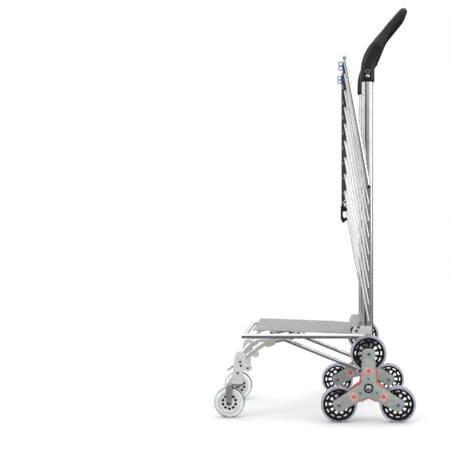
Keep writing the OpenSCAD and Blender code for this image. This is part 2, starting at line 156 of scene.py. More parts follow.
def add_floor():
    """A pale round floor that fades out into the white around it."""
    mesh = bpy.data.meshes.new("floor")
    ring = [(3 * math.cos(t * math.pi / 48), 3 * math.sin(t * math.pi / 48), 0) for t in range(96)]
    mesh.from_pydata(ring, [], [list(range(96))])
    floor = bpy.data.objects.new("floor", mesh)
    bpy.context.scene.collection.objects.link(floor)
    mat = bpy.data.materials.new("pale_floor")
    mat.use_nodes = True
    tree = mat.node_tree
    bsdf = tree.nodes["Principled BSDF"]
    bsdf.inputs["Base Color"].default_value = (0.93, 0.93, 0.93, 1)
    bsdf.inputs["Roughness"].default_value = 0.9
    coords = tree.nodes.new("ShaderNodeTexCoord")
    length = tree.nodes.new("ShaderNodeVectorMath")
    length.operation = "LENGTH"
    tree.links.new(coords.outputs["Object"], length.inputs[0])
    fade = tree.nodes.new("ShaderNodeMapRange")
    fade.inputs["From Min"].default_value = 0.5
    fade.inputs["From Max"].default_value = 1.3
    fade.inputs["To Min"].default_value = 1
    fade.inputs["To Max"].default_value = 0
    tree.links.new(length.outputs["Value"], fade.inputs["Value"])
    tree.links.new(fade.outputs["Result"], bsdf.inputs["Alpha"])
    mesh.materials.append(mat)
    floor.visible_glossy = False


add_camera()
add_world()
add_floor()
MIDDLE = (0, 0, 0.5)
add_light("key", (-1.9, -1.6, 2.0), MIDDLE, (1.3, 1.3), 16)
add_light("side", (2.4, -0.9, 1.3), MIDDLE, (0.6, 1.8), 12)
add_light("top", (0.1, 0.6, 2.6), MIDDLE, (1.6, 1.6), 12)
bpy.context.scene.view_settings.view_transform = "Standard"

# ---- Materials ----


class Look:
    """A procedural material: a Principled shader whose colour, roughness and relief vary over a surface."""

    def __init__(self, name, **sockets):
        self.material = bpy.data.materials.new(name)
        self.material.use_nodes = True
        self.tree = self.material.node_tree
        self.bsdf = self.tree.nodes["Principled BSDF"]
        for socket, value in sockets.items():
            self.bsdf.inputs[socket.replace("_", " ")].default_value = value
        self.coords = self.tree.nodes.new("ShaderNodeTexCoord").outputs["Object"]
        self.relief = None

    def place(self, stretch):
        """Coordinates in metres, divided by stretch along each axis."""
        n = self.tree.nodes.new("ShaderNodeMapping")
        n.inputs["Scale"].default_value = [1 / s for s in stretch]
        self.tree.links.new(self.coords, n.inputs["Vector"])
        return n.outputs["Vector"]

    def noise(self, size, detail=3.0, stretch=(1, 1, 1)):
        """Cloudy values from 0 to 1 with patches of about that size in metres."""
        n = self.tree.nodes.new("ShaderNodeTexNoise")
        n.inputs["Scale"].default_value = 1 / size
        n.inputs["Detail"].default_value = detail
        self.tree.links.new(self.place(stretch), n.inputs["Vector"])
        return n.outputs["Fac"]

    def cells(self, size):
        """Distance from 0 to about 1 inside cells of that size in metres."""
        n = self.tree.nodes.new("ShaderNodeTexVoronoi")
        n.inputs["Scale"].default_value = 1 / size
        self.tree.links.new(self.coords, n.inputs["Vector"])
        return n.outputs["Distance"]

    def ranged(self, source, low, high, to_low, to_high):
        """source, from low..high to to_low..to_high, kept inside."""
        n = self.tree.nodes.new("ShaderNodeMapRange")
        for socket, value in zip(("From Min", "From Max", "To Min", "To Max"), (low, high, to_low, to_high)):
            n.inputs[socket].default_value = value
        self.tree.links.new(source, n.inputs["Value"])
        return n.outputs["Result"]

    def colour(self, source, *stops):
        """Base colour from a ramp of (place, colour) stops."""
        n = self.tree.nodes.new("ShaderNodeValToRGB")
        for e, (place, rgb) in zip(n.color_ramp.elements, stops[:2]):
            e.position, e.color = place, (*rgb, 1)
        for place, rgb in stops[2:]:
            n.color_ramp.elements.new(place).color = (*rgb, 1)
        self.tree.links.new(source, n.inputs["Fac"])
        self.tree.links.new(n.outputs["Color"], self.bsdf.inputs["Base Color"])
        return self

    def rough(self, source, low, high):
        """Roughness between low and high, by source."""
        self.tree.links.new(self.ranged(source, 0.3, 0.7, low, high), self.bsdf.inputs["Roughness"])
        return self

    def bump(self, source, height, strength=1.0):
        """Relief of that height in metres, on top of any relief set before."""
        n = self.tree.nodes.new("ShaderNodeBump")
        n.inputs["Distance"].default_value = height
        n.inputs["Strength"].default_value = strength
        self.tree.links.new(source, n.inputs["Height"])
        if self.relief:
            self.tree.links.new(self.relief, n.inputs["Normal"])
        self.relief = n.outputs["Normal"]
        self.tree.links.new(self.relief, self.bsdf.inputs["Normal"])
        return self


def grey(value, tint=(1, 1, 1)):
    return tuple(value * t for t in tint)


def drawn_metal(name, level, rough, grain, tint=(1, 1, 1), metallic=1.0):
    """Drawn or plated bar with fine lines along its length: grain holds how far they run along X, Y and Z."""
    look = Look(name, Metallic=metallic)
    lines = look.noise(0.0009, 4, grain)
    look.colour(look.noise(0.035, 4), (0.3, grey(level * 0.88, tint)), (0.7, grey(level, tint)))
    look.rough(lines, rough * 0.7, rough * 1.5)
    return look.bump(lines, 0.00002, 0.5).material


def plastic(name, dark, light, rough, grain=0.0007, height=0.00003, **sockets):
    """Moulded plastic: slightly cloudy colour with a fine spark-eroded grain."""
    look = Look(name, **sockets)
    look.colour(look.noise(0.02, 5), (0.3, dark), (0.7, light))
    look.rough(look.noise(0.006, 4), rough * 0.8, rough * 1.25)
    return look.bump(look.noise(grain, 2), height, 0.6).material


def grip_rubber():
    look = Look("grip_rubber", Specular_IOR_Level=0.3)
    pebble_relief_and_shade = look.cells(0.0021)
    # Colour from the same cells as the relief: lighter on the pebble tops and darker between them, painted
    # shade in the hollows
    look.colour(pebble_relief_and_shade, (0.1, grey(0.022)), (0.6, grey(0.006)))
    look.rough(look.noise(0.01, 4), 0.5, 0.72)
    return look.bump(look.ranged(pebble_relief_and_shade, 0, 0.7, 1, 0), 0.0004, 0.9).material


def zinc():
    """Bright zinc plate: faint crystal patches over a satin, slightly green grey."""
    look = Look("zinc_plate", Metallic=0.4)
    crystals = look.cells(0.006)
    look.colour(crystals, (0.1, (0.34, 0.38, 0.36)), (0.8, (0.43, 0.47, 0.445)))
    look.rough(look.noise(0.004, 5), 0.36, 0.55)
    return look.bump(look.noise(0.0006, 3), 0.00002, 0.5).material


def clear_rubber(name, tint, rough, cloud):
    """Cast clear polyurethane with a little haze in it."""
    look = Look(name, Transmission_Weight=0.82, IOR=1.42)
    haze = look.noise(0.012, 4)
    look.colour(haze, (0.3, grey(cloud, tint)), (0.7, tint))
    look.rough(haze, rough * 0.8, rough * 1.4)
    return look.bump(look.noise(0.002, 3), 0.00006, 0.5).material


ALONG_X, ALONG_Y, ALONG_Z = (60, 1, 1), (1, 60, 1), (1, 1, 60)
PALE, GREENISH = (0.985, 0.995, 1.0), (0.97, 1, 0.98)
LOOKS = {
    "post_metal": drawn_metal("post_metal", 0.86, 0.16, ALONG_Z, PALE),
    "tube_metal": drawn_metal("tube_metal", 0.88, 0.15, ALONG_X, PALE),
    "cross_metal": drawn_metal("cross_metal", 0.86, 0.16, ALONG_Y, PALE),
    "rail_metal": drawn_metal("rail_metal", 0.92, 0.18, (1, 1, 12), PALE, 1.0),
    "leg_metal": drawn_metal("leg_metal", 0.90, 0.18, ALONG_X, PALE, 0.6),
    "wire_metal": drawn_metal("wire_metal", 0.93, 0.25, (1, 1, 8), PALE, 0.45),
    "pale_block": plastic("pale_block", (0.50, 0.48, 0.40), (0.60, 0.58, 0.50), 0.35, Metallic=0.2),
    "mesh_metal": drawn_metal("mesh_metal", 0.42, 0.34, (8, 1, 1), (0.98, 0.98, 1.0), 0.6),
    "bolt_metal": drawn_metal("bolt_metal", 0.80, 0.16, (1, 1, 1)),
    "zinc_plate": zinc(),
    "grey_strip": plastic("grey_strip", grey(0.028), grey(0.045), 0.42, Metallic=0.2),
    "dull_strip": plastic("dull_strip", grey(0.15), grey(0.26), 0.45, Metallic=0.2),
    "black_bolt": plastic("black_bolt", grey(0.012), grey(0.022), 0.34, Metallic=0.7),
    "black_plastic": plastic(
        "black_plastic", grey(0.006), grey(0.011), 0.40, height=0.00006, Specular_IOR_Level=0.35
    ),
    "grip_rubber": grip_rubber(),
    "blue_plastic": plastic(
        "blue_plastic", (0.02, 0.13, 0.42), (0.03, 0.20, 0.58), 0.18, height=0.00001, Transmission_Weight=0.25
    ),
    "red_plastic": plastic("red_plastic", (0.46, 0.055, 0.035), (0.62, 0.085, 0.05), 0.35),
    "pink_pad": plastic("pink_pad", (0.50, 0.29, 0.26), (0.60, 0.36, 0.32), 0.35),
    "wheel_black": plastic("wheel_black", grey(0.006), grey(0.011), 0.34, Specular_IOR_Level=0.35),
    "clear_tyre": clear_rubber("clear_tyre", (0.62, 0.60, 0.74), 0.22, 0.84),
    "castor_clear": clear_rubber("castor_clear", (0.90, 0.94, 0.95), 0.10, 0.96),
    "castor_skin": plastic("castor_skin", grey(0.16), grey(0.22), 0.3),
    "castor_white": plastic("castor_white", grey(0.70, (0.98, 1, 1)), grey(0.78), 0.30),
    "fork_grey": plastic("fork_grey", grey(0.24, GREENISH), grey(0.30, GREENISH), 0.36, Metallic=0.4),
    "bracket_white": plastic("bracket_white", grey(0.62), grey(0.72), 0.30, Metallic=0.2),
}

# The finish of each CAD node that stays in sight
FINISH = {
    "post_metal": ["left_post", "right_post"],
    "tube_metal": ["deck_tubes"],
    "cross_metal": ["frame_crossbars", "deck_crossbars", "deck_hinge_rod", "main_axle"],
    "rail_metal": ["top_rails"],
    "wire_metal": ["back_grille", "front_grille"] + [f"side_wires_{i}" for i in range(1, 9)],
    "mesh_metal": ["deck_mesh"],
    "grey_strip": ["axle_blocks", "front_strips"],
    "dull_strip": ["back_strips"],
    "bracket_white": ["castor_brackets", "hinge_plates"],
}


def finish_cad_nodes():
    for look, nodes in FINISH.items():
        for name in nodes:
            mesh = NODES[name].data
            mesh.materials.clear()
            mesh.materials.append(LOOKS[look])


finish_cad_nodes()

# ---- Shape helpers ----


def polar(radius, degrees):
    """Point at that distance and angle: 0 is up, and angles run from +Z towards +X."""
    t = math.radians(degrees)
    return radius * math.sin(t), radius * math.cos(t)


def circle(radius, steps=48, at=(0, 0)):
    return [(at[0] + radius * math.cos(t), at[1] + radius * math.sin(t))
            for t in (2 * math.pi * i / steps for i in range(steps))]


def rounded_box(width, height, corner, steps=6):
    """Outline of a rectangle with round corners, centred, anticlockwise."""
    points = []
    for quarter, (sx, sy) in enumerate([(1, 1), (-1, 1), (-1, -1), (1, -1)]):
        for i in range(steps + 1):
            t = math.pi / 2 * (quarter + i / steps)
            points.append((sx * (width / 2 - corner) + corner * math.cos(t),
                           sy * (height / 2 - corner) + corner * math.sin(t)))
    return points


def filleted(corners, steps=6):
    """Closed outline through corners (x, z, radius), each rounded with its radius."""
    points = []
    count = len(corners)
    for i, (x, z, radius) in enumerate(corners):
        here = Vector((x, z))
        before = (Vector(corners[i - 1][:2]) - here).normalized()
        after = (Vector(corners[(i + 1) % count][:2]) - here).normalized()
        half = before.angle(after) / 2
        start = here + before * radius / math.tan(half)
        middle = here + (before + after).normalized() * radius / math.sin(half)
        swing = (start - middle).angle_signed(here + after * radius / math.tan(half) - middle)
        for k in range(steps + 1):
            arm = (start - middle).copy()
            arm.rotate(Matrix.Rotation(-swing * k / steps, 2))
            points.append(tuple(middle + arm))
    return points


def arc_path(points, radius, steps=10):
    """Open path in space through points, with each inner corner rounded."""
    path = [Vector(points[0])]
    for a, b, c in zip(points, points[1:], points[2:]):
        a, b, c = Vector(a), Vector(b), Vector(c)
        before, after = (a - b).normalized(), (c - b).normalized()
        half = before.angle(after) / 2
        reach = radius / math.tan(half)
        middle = b + (before + after).normalized() * radius / math.sin(half)
        start, end = b + before * reach - middle, b + after * reach - middle
        axis = start.cross(end).normalized()
        swing = start.angle(end)
        path += [middle + Matrix.Rotation(swing * k / steps, 3, axis) @ start for k in range(steps + 1)]
    return path + [Vector(points[-1])]


def lathe(profile, steps=96, closed=False):
    """Turned shape round the Y axis. Profile points are (radius, y), and a closed profile makes a ring."""
    verts, faces, rings = [], [], []
    for radius, y in profile:
        first = len(verts)
        if radius < 1e-7:
            verts.append((0, y, 0))
            rings.append([first] * steps)
        else:
            for i in range(steps):
                t = 2 * math.pi * i / steps
                verts.append((radius * math.cos(t), y, radius * math.sin(t)))
            rings.append(list(range(first, first + steps)))
    for a, b in zip(rings, rings[1:] + (rings[:1] if closed else [])):
        for i in range(steps):
            j = (i + 1) % steps
            face = list(dict.fromkeys([a[i], a[j], b[j], b[i]]))
            if len(face) > 2:
                faces.append(face)
    return verts, faces


def plate(loops, thickness, edge=0.0006, segments=2):
    """Flat plate in the XZ plane, centred on y = 0, with rounded edges. Loops after the first are holes."""
    bm = bmesh.new()
    edges = []
    for loop in loops:
        ring = [bm.verts.new((x, -thickness / 2, z)) for x, z in loop]
        edges += [bm.edges.new((ring[i - 1], ring[i])) for i in range(len(ring))]
    bmesh.ops.triangle_fill(bm, use_beauty=True, edges=edges)
    made = bmesh.ops.extrude_face_region(bm, geom=bm.faces[:])
    top = [v for v in made["geom"] if isinstance(v, bmesh.types.BMVert)]
    bmesh.ops.translate(bm, vec=(0, thickness, 0), verts=top)
    bmesh.ops.recalc_face_normals(bm, faces=bm.faces[:])
    rims = [e for e in bm.edges if len(e.link_faces) == 2 and e.calc_face_angle() > 1.2
            and abs(e.verts[0].co.y - e.verts[1].co.y) < 1e-7]
    bmesh.ops.bevel(bm, geom=rims, offset=edge, segments=segments, profile=0.5, affect="EDGES")
    shape = [v.co[:] for v in bm.verts], [[v.index for v in f.verts] for f in bm.faces]
    bm.free()
    return shape


def sweep(path, sections, side):
    """Skin over one outline per path point. An outline's first coordinate runs along side."""
    rings, verts, faces = [], [], []
    side = Vector(side).normalized()
    for i, (point, outline) in enumerate(zip(path, sections)):
        ahead = path[min(i + 1, len(path) - 1)] - path[max(i - 1, 0)]
        ahead.normalize()
        side = (side - ahead * side.dot(ahead)).normalized()
        up = ahead.cross(side)
        rings.append(list(range(len(verts), len(verts) + len(outline))))
        verts += [point + side * u + up * v for u, v in outline]
    for a, b in zip(rings, rings[1:]):
        for i in range(len(a)):
            j = (i + 1) % len(a)
            faces.append([a[i], a[j], b[j], b[i]])
    return verts, faces + [rings[0][::-1], rings[-1]]


def ring_bar(radius, thick, steps=48, around=12):
    """A round ring in the XZ plane made of round bar."""
    return lathe([(radius + thick * math.cos(t), thick * math.sin(t))
                  for t in (2 * math.pi * i / around for i in range(around))], steps, closed=True)


def stud(radius, length, socket=0.0, dome=0.0):
    """A pin or screw head along Y from 0 to length, with a rounded outer end and an optional socket in it."""
    edge = min(radius, length) * 0.25
    profile = [(0, 0), (radius, 0), (radius, length - edge)]
    for k in range(1, 5):
        t = math.pi / 2 * k / 4
        profile.append((radius - edge * (1 - math.cos(t)), length - edge * (1 - math.sin(t))))
    inner = radius * socket
    profile[-1] = (profile[-1][0], length)
    if dome:
        for k in range(1, 5):
            t = math.pi / 2 * k / 5
            profile.append(((radius - edge) * math.cos(t), length + dome * math.sin(t)))
    if socket:
        rim = length + dome
        profile += [(inner * 1.08, rim), (inner, rim - edge * 0.4), (inner * 0.9, length * 0.45)]
    profile.append((0, length * 0.45 if socket else length + dome))
    return lathe(profile, 32)


TURN_BACK = Matrix.Rotation(math.pi, 4, "Z")
# Turn for a shape along Y so that it lies along Z
UPRIGHT = Matrix.Rotation(math.pi / 2, 4, "X")


class Piece:
    """Collects shapes into one mesh object, with a material for each."""

    def __init__(self, name):
        self.name = name
        self.verts, self.faces, self.looks, self.used = [], [], [], []

    def add(self, shape, look, at=(0, 0, 0), turn=None):
        verts, faces = shape
        first = len(self.verts)
        place = Matrix.Translation(at) @ (turn or Matrix.Identity(4))
        self.verts += [place @ Vector(v) for v in verts]
        self.faces += [[first + i for i in f] for f in faces]
        if look not in self.used:
            self.used.append(look)
        self.looks += [self.used.index(look)] * len(faces)
        return self

    def make(self, body, slot, replaces=(), angle=38, origin=None):
        """The finished object. With an origin, its mesh is kept round that point."""
        mesh = bpy.data.meshes.new(self.name)
        shift = Vector(origin) if origin is not None else Vector()
        mesh.from_pydata([v - shift for v in self.verts], [], self.faces)
        for look in self.used:
            mesh.materials.append(LOOKS[look])
        mesh.polygons.foreach_set("material_index", self.looks)
        bm = bmesh.new()
        bm.from_mesh(mesh)
        bmesh.ops.recalc_face_normals(bm, faces=bm.faces[:])
        bm.to_mesh(mesh)
        bm.free()
        mesh.polygons.foreach_set("use_smooth", [True] * len(mesh.polygons))
        mesh.set_sharp_from_angle(angle=math.radians(angle))
        obj = bpy.data.objects.new(self.name, mesh)
        obj.location = shift
        bpy.context.scene.collection.objects.link(obj)
        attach(obj, body)
        if replaces:
            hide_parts(*replaces)
        return obj


def loose_boxes(node):
    """Boxes of a CAD node's separate solids, as (middle, size), in a fixed order."""
    bm = bmesh.new()
    bm.from_mesh(NODES[node].data)
    bmesh.ops.remove_doubles(bm, verts=bm.verts[:], dist=1e-6)
    waiting, boxes = set(bm.verts), []
    while waiting:
        front, found = [waiting.pop()], []
        while front:
            v = front.pop()
            found.append(v.co.copy())
            for e in v.link_edges:
                other = e.other_vert(v)
                if other in waiting:
                    waiting.remove(other)
                    front.append(other)
        low = Vector([min(c[i] for c in found) for i in range(3)])
        high = Vector([max(c[i] for c in found) for i in range(3)])
        boxes.append(((low + high) / 2, high - low))
    bm.free()
    return sorted(boxes, key=lambda b: tuple(round(x, 5) for x in b[0]))


def outward(y):
    """Turn for a shape along +Y so that it points away from the middle plane."""
    return TURN_BACK if y < 0 else Matrix.Identity(4)


# ---- Handle ----

SOCKET_LOW, SOCKET_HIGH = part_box("handle_sockets")
GRIP_FOOT_R = 15.2 * MM
# Middle line of a grip arm, in mm: along X from the post, across, and height above the socket's lower end.
# The radius comes last
GRIP = [(22, 128, 88, 15.1), (54, 94, 142, 8.8), (95, 60, 191, 9.8)]
SOCKET_DEPTH, SOCKET_WIDTH, SOCKET_CORNER = 35 * MM, 31 * MM, 13 * MM
# Middle line of the elbow, in mm: along X from the post, and height above the socket's lower end
ELBOW = [(0, 0), (0, 22), (0.3, 36), (2.2, 48), (5.5, 59.5), (10, 70), (15.6, 79.5), (21.5, 87.5),
         (27, 94), (27.6, 94.7)]


def elbow_section(share):
    """Outline of the elbow from its socket, share 0, to the grip, share 1."""
    size = SOCKET_DEPTH + (2 * GRIP_FOOT_R - SOCKET_DEPTH) * share ** 1.5
    width = SOCKET_WIDTH + (2 * GRIP_FOOT_R - SOCKET_WIDTH) * share ** 1.5
    corner = SOCKET_CORNER + (width / 2 * 0.999 - SOCKET_CORNER) * share
    return rounded_box(size, width, corner, 10)


def add_elbows():
    piece = Piece("handle_elbows")
    for side in SIDES.values():
        path = [Vector((AXLE.x + x * MM, side * POST_Y, SOCKET_LOW.z + z * MM)) for x, z in ELBOW]
        shares = [i / (len(path) - 1) for i in range(len(path))]
        sections = [elbow_section(s) for s in shares]
        lip = rounded_box(SOCKET_DEPTH - 1.6 * MM, SOCKET_WIDTH - 1.6 * MM, SOCKET_CORNER - 0.8 * MM, 10)
        path = [path[0], path[0] + Vector((0, 0, 0.8 * MM))] + path[1:]
        sections = [lip] + [sections[0]] + sections[1:]
        shape = sweep(path, sections, (1, 0, 0))
        piece.add(shape, "black_plastic")
    obj = piece.make("frame", "black_plastic", ["handle_sockets"], angle=50)
    smooth = obj.modifiers.new("smooth", "SUBSURF")
    smooth.levels = smooth.render_levels = 1


def add_grip():
    """Pebbled U-shaped sleeve over the handle's tube: its arms lean together up to a crossbar."""
    arm = [Vector((AXLE.x + x * MM, y * MM, SOCKET_LOW.z + z * MM)) for x, y, z, _ in GRIP]
    corners = [Vector((p.x, -p.y, p.z)) for p in arm] + arm[::-1]
    bent = arc_path(corners[:3], 120 * MM, 8)[:-1]
    other = [Vector((p.x, -p.y, p.z)) for p in bent[::-1]]
    path = arc_path([bent[-1], corners[2], corners[3], other[0]], 24 * MM, 8)
    path = bent[:-1] + path + other[1:]
    dense = []
    for a, b in zip(path, path[1:]):
        steps = max(1, int((b - a).length / (5 * MM)))
        dense += [a.lerp(b, k / steps) for k in range(steps)]
    dense.append(path[-1])
    sections = []
    for p in dense:
        height = (p.z - SOCKET_LOW.z) / MM
        low, high = (GRIP[0], GRIP[1]) if height < GRIP[1][2] else (GRIP[1], GRIP[2])
        share = min(1, max(0, (height - low[2]) / (high[2] - low[2])))
        eased = share * share * (3 - 2 * share)
        sections.append(circle((low[3] + (high[3] - low[3]) * eased) * MM, 40))
    Piece("handle_grip_sleeve").add(sweep(dense, sections, (0, 0, 1)), "grip_rubber").make(
        "frame", "grip_rubber", ["handle_grip"], angle=60)


def add_handle_screws():
    """On each elbow, a bright dome-head screw under a dark pin with a bright collar."""
    piece = Piece("handle_screw_heads")
    for middle, size in loose_boxes("handle_screws"):
        radius = size.x / 2
        foot = Vector((middle.x, math.copysign(SOCKET_WIDTH / 2 - 0.4 * MM + POST_Y, middle.y), middle.z))
        if radius > 4 * MM:
            piece.add(stud(radius, 1.2 * MM, dome=1.4 * MM), "bolt_metal", foot, outward(middle.y))
        else:
            piece.add(stud(radius, 0.8 * MM, dome=0.9 * MM), "black_bolt", foot, outward(middle.y))
            piece.add(ring_bar(radius + 0.6 * MM, 0.7 * MM), "bolt_metal", foot)
    piece.make("frame", "steel_bolt", ["handle_screws"])


add_elbows()
add_grip()
add_handle_screws()

# ---- Fasteners ----


def add_studs(name, node, body, slot, look, socket=0.5):
    """Every round solid of a CAD node, as a turned pin or a head with a rounded rim and a socket."""
    piece = Piece(name)
    for middle, size in loose_boxes(node):
        if size.z < min(size.x, size.y) * 0.9 and size.z < 5 * MM:
            foot = middle - Vector((0, 0, size.z / 2))
            piece.add(stud(size.x / 2, size.z, socket), look, foot, UPRIGHT)
        else:
            foot = Vector((middle.x, middle.y - math.copysign(size.y / 2, middle.y), middle.z))
            hole = socket if size.y < 4 * MM else 0.0
            piece.add(stud(min(size.x, size.z) / 2, size.y, hole), look, foot, outward(middle.y))
    piece.make(body, slot, [node])


add_studs("hinge_plate_bolts", "plate_bolts", "frame", "black_bolt", "black_bolt")
add_studs("deck_screws", "deck_bolts", "deck", "black_bolt", "black_bolt")
add_studs("leg_bolt_heads", "leg_bolts", "leg", "steel_bolt", "black_bolt")

# ---- Basket trim ----


def add_cover_clips():
    """Blue figure-eight rings at the top of the basket's front, one on each side."""
    piece = Piece("cover_clip_rings")
    for middle, size in loose_boxes("cover_clips"):
        bar = 1.3 * MM
        loop = size.z / 4 - bar
        eye = middle.x - size.x / 2 + loop + bar
        for side in (-1, 1):
            at = (eye, middle.y, middle.z + side * (loop + bar * 0.3))
            piece.add(ring_bar(loop, bar), "blue_plastic", at)
        neck = rounded_box(size.x * 0.55, 4.4 * MM, 1.2 * MM, 4)
        piece.add(plate([neck], 2.4 * MM), "blue_plastic", (eye + size.x * 0.42, middle.y, middle.z))
    piece.make("basket_front", "blue_plastic", ["cover_clips"])


def add_latch():
    """Black C-shaped hook: a loop round its rod, a bulging spine, a square stop and a pointed lower claw."""
    low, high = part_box("latch_hook")
    pivot = (low.x + 10 * MM, 0, high.z - 7 * MM)
    outline = [(6.5, 0, 3), (4.5, 6.3, 3), (-5, 6.6, 3), (-9.6, 0, 6), (-10, -20, 20), (-10, -34, 6),
               (-4, -45, 1.4), (7.5, -35.6, 1.2), (7, -30, 0.8), (-1.6, -31, 1.6), (-4.2, -27, 2),
               (-4.2, -15, 1.2), (6.5, -14, 1), (6.6, -5.6, 1), (3.4, -4.6, 0.8)]
    loops = [[(x * MM, z * MM) for x, z in filleted(outline)], circle(2.5 * MM, 24)]
    shape = plate(loops, 27.6 * MM, 1.0 * MM, 3)
    Piece("latch_claw").add(shape, "black_plastic", pivot).make("latch", "black_plastic", ["latch_hook"])


def add_rail_caps():
    """Turned ends of the top rails' pivots: black caps at the rear, bright heads at the front."""
    piece = Piece("rail_end_caps")
    for middle, size in loose_boxes("rail_caps"):
        foot = middle - Vector((0, math.copysign(size.y / 2, middle.y), 0))
        look = "black_plastic" if middle.x > AXLE.x - 20 * MM else "bolt_metal"
        piece.add(stud(size.x / 2, size.y, 0.35), look, foot, outward(middle.y))
    piece.make("basket_rails", "black_plastic", ["rail_caps"])


add_rail_caps()
add_cover_clips()
add_latch()

# ---- Wheels ----


def tyre_profile(radius, inner, width, crown):
    """Closed cross-section of a tyre: rounded tread with a faint mould line, flat sides."""
    points = [(inner, -width / 2), (radius - crown, -width / 2)]
    for k in range(1, 9):
        t = math.pi / 2 * k / 8
        points.append((radius - crown + crown * math.sin(t), -width / 2 + crown * (1 - math.cos(t))))
    line = 0.5 * MM
    points += [(radius, -line), (radius + 0.00008, 0), (radius, line)]
    for k in range(0, 9):
        t = math.pi / 2 * (1 - k / 8)
        points.append((radius - crown + crown * math.sin(t), width / 2 - crown * (1 - math.cos(t))))
    return points + [(inner, width / 2)]


def tread_skin(radius, width, crown):
    """Closed cross-section of a thin skin that covers the outer part of a tyre's rounded tread."""
    outer = []
    for k in range(-8, 9):
        t = math.radians(90 - 38 * abs(k) / 8)
        reach = crown + 0.05 * MM
        side = math.copysign(width / 2 - crown + reach * math.cos(t), k) if k else 0
        outer.append((radius - crown + reach * math.sin(t), side))
    return outer + [(r - 0.7 * MM, y * 0.96) for r, y in reversed(outer)]


def window(middle, width, height, corner, degrees):
    """A window in a wheel's web, bent round the hub, at that angle."""
    turn = math.radians(degrees)
    return [((middle + v) * math.sin(turn + u / middle), (middle + v) * math.cos(turn + u / middle))
            for u, v in rounded_box(width, height, corner, 4)]


def raised_ring(inner, outer, half_width, edge):
    """Cross-section of a ring that stands out of the web on both sides."""
    return [(inner, -half_width + edge), (inner + edge, -half_width), (outer - edge, -half_width),
            (outer, -half_width + edge), (outer, half_width - edge), (outer - edge, half_width),
            (inner + edge, half_width), (inner, half_width - edge)]


def turned_ring(inner, outer, half_width, edge, steps=96):
    """A ring round the Y axis with broken edges."""
    return lathe(raised_ring(inner, outer, half_width, edge), steps, closed=True)


def cluster_wheel():
    """Black spoked core with its bearing, as one mesh round its own axle."""
    piece = Piece("core")
    rim = 38.4 * MM
    holes = [window(31.3 * MM, 10.6 * MM, 4.0 * MM, 1.6 * MM, a) for a in range(0, 360, 30)]
    holes += [window(20.6 * MM, 7.6 * MM, 8.6 * MM, 1.9 * MM, a) for a in range(18, 360, 36)]
    piece.add(plate([circle(rim - 1 * MM, 96)] + holes + [circle(9 * MM)], 12 * MM, 0.7 * MM), "wheel_black")
    piece.add(turned_ring(34.8 * MM, rim, 9.5 * MM, 0.9 * MM), "wheel_black")
    piece.add(turned_ring(26.0 * MM, 28.6 * MM, 7.6 * MM, 0.7 * MM), "wheel_black")
    piece.add(turned_ring(10.8 * MM, 14.2 * MM, 10.5 * MM, 0.9 * MM), "wheel_black")
    piece.add(turned_ring(4.2 * MM, 10.9 * MM, 9.6 * MM, 0.5 * MM), "bolt_metal")
    piece.add(turned_ring(4.2 * MM, 6.2 * MM, 12.8 * MM, 0.3 * MM), "bolt_metal")
    return piece


def add_cluster_wheels():
    for side in SIDES:
        for k in (1, 2, 3):
            tyre_node = f"{side}_wheel_tyre_{k}"
            low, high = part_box(tyre_node)
            hub = (low + high) / 2
            radius, width = (high.z - low.z) / 2, high.y - low.y
            body = f"{side}_wheel_{k}"
            core = cluster_wheel()
            core.name = f"{side}_wheel_spokes_{k}"
            core.verts = [v + hub for v in core.verts]
            core.make(body, "wheel_black", [f"{side}_wheel_core_{k}"], origin=hub)
            tyre = Piece(f"{side}_wheel_tread_{k}")
            profile = tyre_profile(radius, 38.65 * MM, width, 5.4 * MM)
            tyre.add(lathe(profile, closed=True), "clear_tyre", hub)
            tyre.make(body, "clear_tyre", [tyre_node], origin=hub)


add_cluster_wheels()

# ---- Clusters ----

ARM = 82 * MM
PLATE_GAP, PLATE_T = 14.5 * MM, 3.0 * MM


def three_arms(root, tip, reach, corner, crotch):
    """Outline with three tapered arms: half-width root at the hub and tip at the wheel axle."""
    slope = (root - tip) / ARM
    meet = root / (math.sin(math.radians(60)) + slope * math.cos(math.radians(60)))
    end = root - slope * reach
    corners = []
    for a in (0, 120, 240):
        for u in (-end, end):
            x, z = polar(math.hypot(u, reach), a + math.degrees(math.atan2(u, reach)))
            corners.append((x, z, corner))
        x, z = polar(meet, a + 60)
        corners.append((x, z, crotch))
    return filleted(corners, 7)


